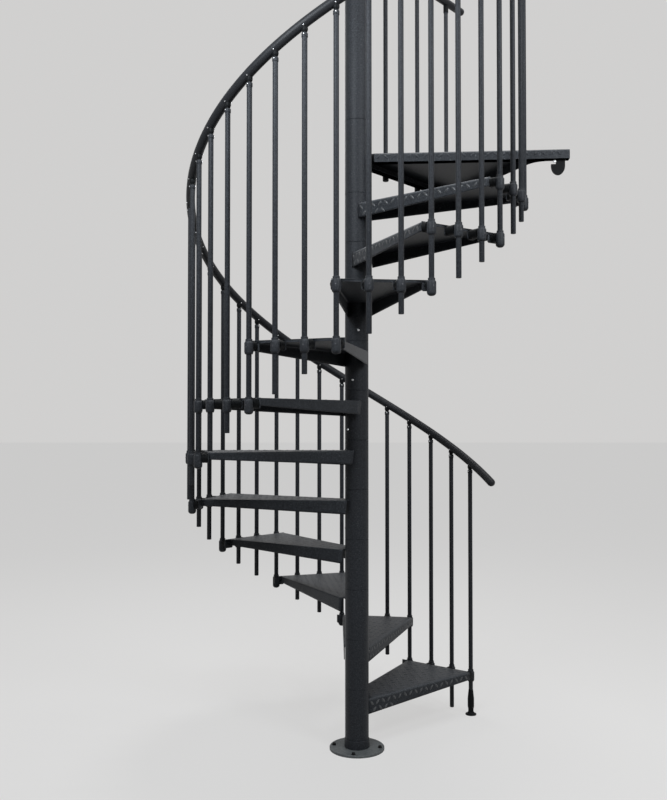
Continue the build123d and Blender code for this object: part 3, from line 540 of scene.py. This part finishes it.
def folded_sheet():
    """Folded tread: across, the section runs up the front flange, round its bend, over the top and down
    the rear flange; outwards, each line of it runs straight to the outer chord, and the flanges taper.
    The top's inner edge follows the column and leaves it by blend^4 towards the rear flange's start."""
    u = np.linspace(0, 1, LINE_POINTS)[:, None]
    bend = np.radians(np.linspace(0, 90, BEND_LINES))
    up_front = np.linspace(1, 0, FLANGE_LINES + 1)[:-1]
    down_rear = np.linspace(0, 1, FLANGE_LINES)[1:]
    rear_start = REAR_START + REAR_SLANT * np.concatenate([np.zeros(BEND_LINES), down_rear])
    front_in = np.concatenate([np.zeros(FLANGE_LINES), FRONT_BEND * (1 - np.cos(bend))])
    rear_in = np.concatenate([REAR_BEND * (1 - np.cos(bend))[::-1], 0 * down_rear])
    front = side_lines(FRONT_EDGE, FRONT_OFF_AXIS, FRONT_START, -1, front_in, u)
    rear = side_lines(REAR_EDGE, REAR_OFF_AXIS, rear_start, 1, rear_in, u)
    blend = np.linspace(0, 1, TOP_LINES + 2)[1:-1]
    a, b = front[0, -1], rear[0, 0]
    turn = atan2(a[1], a[0]) + blend * (atan2(b[1], b[0]) - atan2(a[1], a[0]))
    near_r = hypot(*a) + blend ** 4 * (hypot(*b) - hypot(*a))
    near = near_r[:, None] * np.stack([np.cos(turn), np.sin(turn)], -1)
    far = front[-1, -1] + blend[:, None] * (rear[-1, 0] - front[-1, -1])
    top = near[None] + u[..., None] * (far - near)[None]
    plan = np.concatenate([front, top, rear], 1)
    front_depth = flange_depth(front[:, :FLANGE_LINES, 0], FRONT_DEPTH_IN, FRONT_DEPTH_OUT)
    rear_depth = flange_depth(rear[:, BEND_LINES:, 0], REAR_DEPTH_IN, REAR_DEPTH_OUT)
    z = np.concatenate([
        -(FRONT_BEND + (front_depth - FRONT_BEND) * up_front),
        np.broadcast_to(FRONT_BEND * np.sin(bend) - FRONT_BEND, (LINE_POINTS, BEND_LINES)),
        np.zeros((LINE_POINTS, TOP_LINES)),
        np.broadcast_to(REAR_BEND * np.sin(bend)[::-1] - REAR_BEND, (LINE_POINTS, BEND_LINES)),
        -(REAR_BEND + (rear_depth - REAR_BEND) * down_rear),
    ], 1)
    local = np.stack([plan[..., 0], plan[..., 1], z, np.ones_like(z)], -1)
    gaps = np.linalg.norm(np.diff(local[..., :3], axis=1), axis=-1)
    across = np.concatenate([np.zeros((LINE_POINTS, 1)), np.cumsum(gaps, 1)], 1)
    across = across - across[:, FLANGE_LINES:FLANGE_LINES + 1]
    uv = np.stack([local[..., 0] + UV_START, across + UV_START], -1)
    return local, grid_faces(LINE_POINTS, z.shape[1], False, False, flip=True).tolist(), uv


# Half length, half width and height of a raised almond on a front flange and on a top, the sine of
# its lean, how far its foot is sunk, and the lattice's cell
FACE_ALMOND, TOP_ALMOND = (0.0145, 0.0062, 0.0032), (0.0140, 0.0056, 0.0016)
LEAN_SINE, ALMOND_SUNK = 0.7071, 0.0003
CELL_S, CELL_V = 0.036, 0.030
# How far an almond's centre keeps from the column, the folds and the edges, and where the lattices
# start and end along and across
COLUMN_MARGIN, FOLD_MARGIN, TREAD_MARGIN, LANDING_MARGIN = 0.018, 0.018, 0.014, 0.016
FACE_END_MARGIN, FACE_FOOT_MARGIN = 0.012, 0.010
FACE_FIRST, FACE_ROWS = 0.094 - 2 * CELL_S, (0.024, 0.070)
LANDING_FACE_FIRST, LANDING_FACE_ROWS = 0.102, (0.020, 0.034)
TOP_FIRST_ROW, TREAD_REACH, TREAD_WIDTH = 0.026, 0.74, 0.42
LANDING_FIRST, LANDING_WIDTH = 0.02, 0.80
ARM_FRONT_ROWS, ARM_FAR_ROWS = 0.030, 0.028
UP = np.array([0, 0, 1.0])


def almonds(centres, lean, origin, along, across, size, rows=(1.0, 0.72, 0.34), sides=10):
    """Raised almonds on a flat sheet: round the almond, a = A r cos t along it and b = B r sin t
    (0.5 + 0.5 |sin t|) across it, with a height of H (1 - r^2) less the sunk foot; it leans left or
    right by 45 degrees.
    The sheet's plane is origin + s along + v across, and its outer side is along x across."""
    r = np.array(rows)[:, None]
    t = np.arange(sides) * 2 * pi / sides
    a = size[0] * r * np.cos(t)
    b = size[1] * r * np.sin(t) * (0.5 + 0.5 * np.abs(np.sin(t)))
    height = size[2] * (1 - r ** 2) - ALMOND_SUNK + 0 * a
    s = centres[:, 0, None, None] + LEAN_SINE * (a - lean[:, None, None] * b)
    v = centres[:, 1, None, None] + LEAN_SINE * (lean[:, None, None] * a + b)
    raised = np.broadcast_to(height, s.shape)[..., None] * np.cross(along, across)
    return origin + s[..., None] * along + v[..., None] * across + raised


def almond_cells(s_low, s_high, v_low, v_high):
    """Centres of a lattice of almonds, every other row moved by half a cell, and which way each leans."""
    s, v = np.meshgrid(np.arange(s_low, s_high, CELL_S), np.arange(v_low, v_high, CELL_V), indexing="ij")
    row = np.round((v - v_low) / CELL_V)
    column = np.round((s - s_low) / CELL_S)
    centres = np.stack([s + 0.5 * CELL_S * (row % 2), v], -1).reshape(-1, 2)
    return centres, (1 - 2 * ((row + column) % 2)).reshape(-1)


def tread_almonds():
    """Almonds of one tread: up to two rows on its front flange, as its depth allows, and the lattice over
    its top, kept clear of the column, the folds and the outer edge."""
    angle, foot, run = FRONT_EDGE
    d, n = np.array([cos(angle), sin(angle), 0]), np.array([-sin(angle), cos(angle), 0])
    origin = np.array([*foot, 0])
    centres, lean = almond_cells(FACE_FIRST, run - TREAD_MARGIN, *FACE_ROWS)
    depth = flange_depth(foot[0] + centres[:, 0] * d[0], FRONT_DEPTH_IN, FRONT_DEPTH_OUT)
    keep = (centres[:, 1] < depth - FACE_FOOT_MARGIN) & (centres[:, 0] < run - FACE_END_MARGIN)
    keep &= centres[:, 0] > FRONT_START + TREAD_MARGIN
    face = almonds(centres[keep] * (1, -1), lean[keep], origin, d, UP, FACE_ALMOND)
    centres, lean = almond_cells(0.0, TREAD_REACH, TOP_FIRST_ROW, TREAD_WIDTH)
    spot = foot + centres[:, :1] * d[:2] + centres[:, 1:] * n[:2]
    rear_angle = REAR_EDGE[0]
    rear_off = REAR_OFF_AXIS - (spot @ np.array([-sin(rear_angle), cos(rear_angle)]))
    keep = np.hypot(*spot.T) > HUB_R + COLUMN_MARGIN
    keep &= (spot[:, 0] < CHORD - TREAD_MARGIN) & (rear_off > FOLD_MARGIN)
    return face, almonds(centres[keep], lean[keep], origin, d, n, TOP_ALMOND)


sheet_local, sheet_faces, sheet_uv = folded_sheet()
face_local, top_local = tread_almonds()
face_almonds = []
for step in STEPS:
    place = step_place(step)
    sheet = make_piece(f"tread_sheet_{step:02d}", (sheet_local @ place.T)[..., :3], sheet_faces, sheet_coat,
                       [f"tread_{step:02d}"], sharp=40, uv=sheet_uv)
    wall = sheet.modifiers.new("wall", "SOLIDIFY")
    wall.thickness = SHEET
    wall.offset = -1
    raised = top_local @ place[:3, :3].T + place[:3, 3]
    make_piece(f"tread_almonds_{step:02d}", raised, copied_grids(raised), coat, sharp=60)
    face_almonds.append(face_local @ place[:3, :3].T + place[:3, 3])


def tab_sheet(centre, half, depth, corner, rows=14, cols=9):
    """Tab or lip: a flat strip that hangs from the plate's outer edge, its lower corners rounded as
    half - corner + sqrt(corner^2 - t^2) with t the way into the rounding."""
    drop = np.linspace(0, depth, rows)
    into = np.maximum(0, drop - (depth - corner))
    width = half - corner + np.sqrt(np.maximum(corner ** 2 - into ** 2, 1e-9))
    y = centre + width[:, None] * np.linspace(-1, 1, cols)[None]
    x = np.full_like(y, CHORD)
    z = np.broadcast_to(-drop[:, None], y.shape)
    return np.stack([x, y, z, np.ones_like(y)], -1)


FRONT_TAB_IN, REAR_TAB_IN = 0.024, 0.005
LIP_MIDDLE, LIP_HALF = (REAR_CORNER - FRONT_CORNER) / 2, (REAR_CORNER + FRONT_CORNER) / 2 - SHEET
tab_strips = np.stack([
    tab_sheet(-FRONT_CORNER + FRONT_TAB_IN, TAB_HALF, TAB_DEPTH, TAB_CORNER),
    tab_sheet(-INNER_S, TAB_HALF, TAB_DEPTH, TAB_CORNER),
    tab_sheet(INNER_S, TAB_HALF, TAB_DEPTH, TAB_CORNER),
    tab_sheet(CORNER_S - REAR_TAB_IN, REAR_TAB_HALF, TAB_DEPTH, TAB_CORNER),
    tab_sheet(LIP_MIDDLE, LIP_HALF, LIP_DEPTH, LIP_CORNER),
])
tab_points = np.concatenate([(tab_strips @ step_place(i).T)[..., :3] for i in STEPS])
count, rows, cols = tab_points.shape[:3]
tab_starts = (np.arange(count) * rows * cols)[:, None, None]
tab_faces = grid_faces(rows, cols, False, False, flip=True)[None] + tab_starts
tabs = make_piece("tread_tabs", tab_points, tab_faces.reshape(-1, 4).tolist(), coat,
                  [f"tread_{i:02d}" for i in STEPS])
tab_wall = tabs.modifiers.new("wall", "SOLIDIFY")
tab_wall.thickness = TAB_SHEET
tab_wall.offset = -1


# Weld beads round the column, on top of each tread and the landing
BEAD_R, BEAD_OUT, BEAD_PITCH, BEAD_RIPPLE, BEAD_END = 0.0032, 0.001, 0.0045, 0.14, 0.35
BEAD_SECTIONS, BEAD_SIDES = 72, 8
# How far the landing's bead runs past the directions of its front and far sides, in degrees
LANDING_BEAD_FRONT, LANDING_BEAD_FAR = 30, 12


def weld_bead(height, start, end):
    """Bead where the column meets a top: an arc round the column, a little out from it, whose section
    has the radius r (1 + ripple cos(2 pi s / pitch)), with s the way along it, and narrows at its ends."""
    a = np.radians(np.linspace(start, end, BEAD_SECTIONS))
    side = np.stack([np.cos(a), np.sin(a), 0 * a], -1)
    path = (HUB_R + BEAD_OUT) * side + (0, 0, height)
    ripples = HUB_R * np.abs(a - a[0]) / BEAD_PITCH
    radius = BEAD_R * (1 + BEAD_RIPPLE * np.cos(2 * pi * ripples))
    radius[[0, -1]] *= BEAD_END
    return swept_sections(path, side, radius, BEAD_SIDES)


bead_turns = [degrees(atan2(sheet_local[0, line, 1], sheet_local[0, line, 0]))
              for line in (FIRST_TOP - 1, FIRST_TOP + TOP_LINES)]
tread_beads = [weld_bead(RISE * i, *(FIRST_BAR_ANGLE + TURN * (i - 0.5) + turn for turn in bead_turns))
               for i in STEPS]
landing_bead = weld_bead(LANDING_TOP, LANDING_ANGLE - LANDING_BEAD_FRONT,
                         LANDING_FAR_ANGLE + LANDING_BEAD_FAR)
beads = np.stack([*tread_beads, landing_bead])
make_piece("weld_beads", beads, copied_grids(beads), coat, sharp=60)


# Landing: the solid stays, with the same raised almonds on its front channel and its top
def landing_almonds():
    """Almonds of the landing: a row along its front channel, and the lattice over its top, kept clear
    of the column, the bay between its arms and its sides."""
    angle, far = radians(LANDING_ANGLE), radians(LANDING_FAR_ANGLE)
    d, n = np.array([cos(angle), sin(angle), 0]), np.array([-sin(angle), cos(angle), 0])
    origin = -LANDING_OFF_AXIS * n + np.array([0, 0, LANDING_TOP])
    centres, lean = almond_cells(LANDING_FACE_FIRST, LANDING_END - FACE_END_MARGIN, *LANDING_FACE_ROWS)
    face = almonds(centres * (1, -1), lean, origin, d, UP, FACE_ALMOND)
    centres, lean = almond_cells(LANDING_FIRST, LANDING_END - LANDING_MARGIN, TOP_FIRST_ROW, LANDING_WIDTH)
    spot = origin[:2] + centres[:, :1] * d[:2] + centres[:, 1:] * n[:2]
    far_in = LANDING_FAR_OFF_AXIS - spot @ np.array([-sin(far), cos(far)])
    far_run = spot @ np.array([cos(far), sin(far)])
    middle = (angle + far) / 2
    plate = spot @ np.array([cos(middle), sin(middle)]) < LANDING_CHORD - LANDING_MARGIN
    arms = (centres[:, 1] < ARM_FRONT_ROWS) | (far_in < ARM_FAR_ROWS)
    keep = (np.hypot(*spot.T) > HUB_R + COLUMN_MARGIN) & (far_in > FOLD_MARGIN)
    keep &= (plate | arms) & (far_run < LANDING_END - LANDING_MARGIN)
    return np.concatenate([face, almonds(centres[keep], lean[keep], origin, d, n, TOP_ALMOND)])


landing_raised = landing_almonds()
make_piece("landing_almonds", landing_raised, copied_grids(landing_raised), coat, sharp=60)
# The front almonds take the lighter coat that paints their highlights, with wear
face_raised = np.concatenate(face_almonds)
make_piece("front_almonds", face_raised, copied_grids(face_raised), almond_highlight_and_wear_coat, sharp=60)

# Finish of the solids that stay as they are
FINISHES = (
    ("base_plate", zinc_grey), ("mast", tube_coat), ("landing", landing_coat),
    ("landing_tongue", black_plastic), ("landing_bars", tube_coat), ("landing_cups", black_plastic),
    ("landing_rail", rail_pvc), ("landing_knuckles", black_plastic),
)
for node, finish in FINISHES:
    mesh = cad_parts[node].data
    mesh.materials.clear()
    mesh.materials.append(finish)

# Small fixings: domed screw heads, each drawn along its own axis from the surface that it sits on
head = np.array([
    (0.0040, -0.002), (0.0052, -0.001), (0.0056, 0.0004), (0.0050, 0.0020), (0.0034, 0.0030),
    (0.0014, 0.0034),
])
SMALL_HEAD = (0.6, 0.7)
# On the rail's underside: share of its radius out and down, and the way that the screw points
RAIL_SCREW_OUT, RAIL_SCREW_DOWN, RAIL_SCREW_AXIS = 0.80, 0.70, (0.80, 0, -0.60)
set_screws = [step_place(i) @ shift(HUB_R, z=-SET_SCREW_DROP) @ TO_PLUS_X for i in STEPS]
turned_set("hub_set_screws", head, set_screws, bright_zinc, sides=16)

small_head = head * SMALL_HEAD
clamp_spots = ((CORNER_N, -CORNER_S), (INNER_N, -INNER_S), (INNER_N, INNER_S), (CORNER_N, CORNER_S))
clamp_face = shift(BAR_CIRCLE + CLAMP_R - CLAMP_SCREW_SUNK, z=-CLAMP_SCREW_DROP)
clamp_screws = [step_place(i) @ turn_z(degrees(atan2(y, x))) @ clamp_face @ TO_PLUS_X
                for i in STEPS for x, y in clamp_spots]
turned_set("clamp_screws", small_head, clamp_screws, dark_zinc, sides=12)
sleeve_face = shift(SLEEVE_R, z=-SLEEVE_SCREW_DROP) @ TO_PLUS_X
rail_spot = shift(RAIL_SCREW_OUT * RAIL_R, z=RAIL_CENTRE - BAR_TOP - RAIL_SCREW_DOWN * RAIL_R)
rail_face = rail_spot @ axis_to(RAIL_SCREW_AXIS)
both_sides = [place @ turn_z(a) for place in bar_tops for a in (0, 180)]
sleeve_screws = [place @ sleeve_face for place in both_sides]
rail_screws = [place @ rail_face for place in both_sides]
turned_set("knuckle_screws", small_head, sleeve_screws + rail_screws, bright_zinc, sides=12)

anchor = [
    (0.0001, 0.004), (0.0060, 0.004), (0.0060, 0.0100), (0.0100, 0.0101), (0.0100, 0.0112), (0.0078, 0.0114),
    (0.0078, 0.0178), (0.0066, 0.0190), (0.0001, 0.0192),
]
turned_set("base_anchor_screws", anchor, [turn_z(a) @ shift(x=BASE_BOLT_R) for a in BASE_BOLT_ANGLES],
           bolt_black, sides=24)

# Bolt in the notch of the tongue, under the front arm's end
bolt_head = [(0.0001, -0.004), (0.0075, -0.004), (0.0075, 0.0035), (0.0065, 0.0045), (0.0001, 0.0047)]
in_notch = shift(LANDING_END - TONGUE_BOLT_END, -LANDING_OFF_AXIS + TONGUE_BOLT_FACE, -TONGUE_BOLT_DROP)
bolt_place = shift(z=LANDING_TOP) @ turn_z(LANDING_ANGLE) @ in_notch @ axis_to((0, -1, 0))
turned_set("tongue_bolt", bolt_head, [bolt_place], bright_zinc, sides=6, sharp=20)


# Floor, light and camera
def seen_factor(add, maths):
    """1 for a camera, glossy or transmission ray, else 0."""
    rays = add("ShaderNodeLightPath")
    both = maths("MAXIMUM", rays.outputs["Is Camera Ray"], rays.outputs["Is Glossy Ray"])
    return maths("MAXIMUM", both, rays.outputs["Is Transmission Ray"])


BACKDROP = (0.635, 0.63, 0.625)
FLOOR_REACH, FLOOR_GLOW = 60, 0.90
floor_finish = bpy.data.materials.new("pale_floor")
floor_finish.use_nodes = True
tree = floor_finish.node_tree
tree.nodes.clear()
add, feed, maths = nodes_of(tree)
bounced, shown, glow = add("ShaderNodeBsdfDiffuse"), add("ShaderNodeBsdfDiffuse"), add("ShaderNodeEmission")
both, pick, out = add("ShaderNodeAddShader"), add("ShaderNodeMixShader"), add("ShaderNodeOutputMaterial")
bounced.inputs["Color"].default_value = (0.05, 0.05, 0.05, 1)
shown.inputs["Color"].default_value = (0.22, 0.218, 0.215, 1)
glow.inputs["Color"].default_value = tuple(FLOOR_GLOW * c for c in BACKDROP) + (1,)
glow.inputs["Strength"].default_value = 1.0
tree.links.new(shown.outputs[0], both.inputs[0])
tree.links.new(glow.outputs[0], both.inputs[1])
feed(pick.inputs[0], seen_factor(add, maths))
tree.links.new(bounced.outputs[0], pick.inputs[1])
tree.links.new(both.outputs[0], pick.inputs[2])
tree.links.new(pick.outputs[0], out.inputs[0])

floor_mesh = bpy.data.meshes.new("floor")
floor_corners = [(x * FLOOR_REACH, y * FLOOR_REACH, 0) for x, y in ((-1, -1), (1, -1), (1, 1), (-1, 1))]
floor_mesh.from_pydata(floor_corners, [], [(0, 1, 2, 3)])
floor_mesh.materials.append(floor_finish)
floor = bpy.data.objects.new("floor", floor_mesh)
bpy.context.scene.collection.objects.link(floor)

world = bpy.data.worlds.new("studio")
bpy.context.scene.world = world
world.use_nodes = True
sky = world.node_tree
sky.nodes.clear()
add, feed, maths = nodes_of(sky)
room, seen = add("ShaderNodeBackground"), add("ShaderNodeBackground")
pick, out = add("ShaderNodeMixShader"), add("ShaderNodeOutputWorld")
room.inputs["Color"].default_value = (0.88, 0.94, 1.0, 1)
room.inputs["Strength"].default_value = 0.14
seen.inputs["Color"].default_value = (*BACKDROP, 1)
seen.inputs["Strength"].default_value = 1.0
feed(pick.inputs[0], seen_factor(add, maths))
sky.links.new(room.outputs[0], pick.inputs[1])
sky.links.new(seen.outputs[0], pick.inputs[2])
sky.links.new(pick.outputs[0], out.inputs[0])


def softbox(name, place, aim, size, power, colour=(1, 1, 1)):
    """Square area lamp at a place, its face towards a point."""
    lamp = bpy.data.lights.new(name, "AREA")
    lamp.size = size
    lamp.energy = power
    lamp.color = colour
    held = bpy.data.objects.new(name, lamp)
    held.location = place
    turn = axis_to(np.array(place, float) - np.array(aim, float))
    held.rotation_euler = Matrix(turn[:3, :3].tolist()).to_euler()
    bpy.context.scene.collection.objects.link(held)


softbox("overhead", (0.6, 0.1, 5.6), (0, 0, 1.8), 1.2, 104)
softbox("right_window", (2.0, -2.2, 3.5), (0.3, 0, 2.4), 1.0, 44, (0.92, 0.96, 1.0))
softbox("left_window", (-1.0, -2.1, 3.5), (0.1, 0, 2.9), 1.1, 52, (0.88, 0.94, 1.0))
softbox("back_fill", (-1.5, 3.5, 4.5), (0, 0, 1.6), 2.0, 30)

# The camera's place in rises, its tilt and roll in degrees, its focal length and picture width in
# pixels, and its sensor's width in millimetres
CAMERA_PLACE, CAMERA_TILT, CAMERA_ROLL = (-0.4673, -18.2475, 6.5864), 90 + 1.363, 0.017
FOCAL_PIXELS, WIDTH_PIXELS, SENSOR = 897.5, 667, 36
camera_data = bpy.data.cameras.new("camera")
camera_data.sensor_fit = "HORIZONTAL"
camera_data.sensor_width = SENSOR
camera_data.lens = SENSOR * FOCAL_PIXELS / WIDTH_PIXELS
camera_data.clip_end = 200
camera = bpy.data.objects.new("camera", camera_data)
camera.location = [c * RISE for c in CAMERA_PLACE]
camera.rotation_euler = Euler((radians(CAMERA_TILT), 0, radians(CAMERA_ROLL)))
bpy.context.scene.collection.objects.link(camera)
bpy.context.scene.camera = camera

bpy.context.scene.view_settings.view_transform = "Standard"

bpy.context.view_layer.update()
